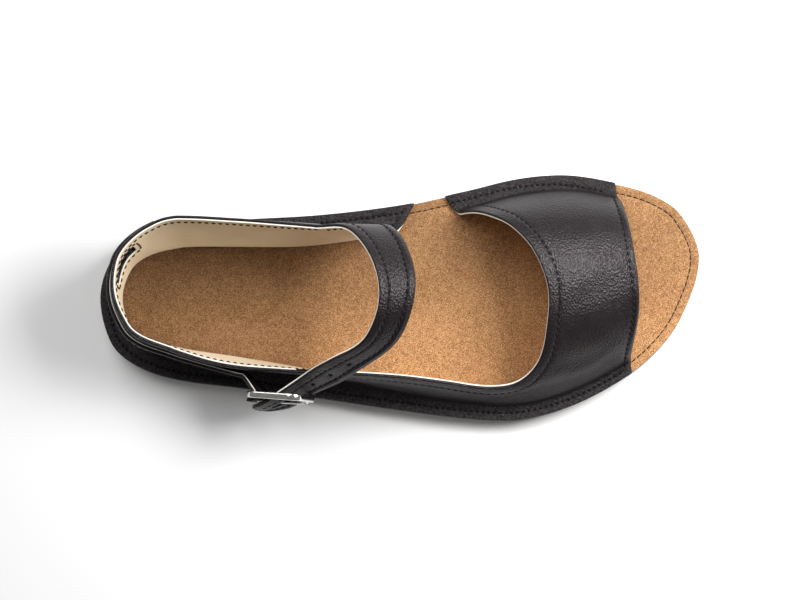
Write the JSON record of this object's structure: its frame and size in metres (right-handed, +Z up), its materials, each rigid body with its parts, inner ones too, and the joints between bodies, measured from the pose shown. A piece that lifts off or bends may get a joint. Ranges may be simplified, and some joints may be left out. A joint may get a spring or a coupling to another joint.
{
  "type": "barefoot sandal",
  "caption": "Flat right-foot leather sandal with an open toe, closed heel, cut-out on the inner side, buckled ankle strap, suede footbed and thin rubber outsole.",
  "frame": {"origin": "on the floor under the middle of the sandal's box", "axes": "+X from the heel to the toe, +Y to the inner (medial) side of the right foot, +Z up"},
  "size_m": [0.2598, 0.1068, 0.0692],
  "materials": {
    "outsole_rubber": "matt moulded rubber with a fine lattice tread",
    "footbed_suede": "tan suede",
    "upper_leather": "black smooth-grain leather with a cream lining",
    "buckle_steel": "plated wire"
  },
  "bodies": {
    "root": {"outsole": "outsole_rubber", "footbed": "footbed_suede", "upper": "upper_leather", "buckle_strap": "upper_leather", "buckle_frame": "buckle_steel", "buckle_prong": "buckle_steel"}
  },
  "joints": []
}
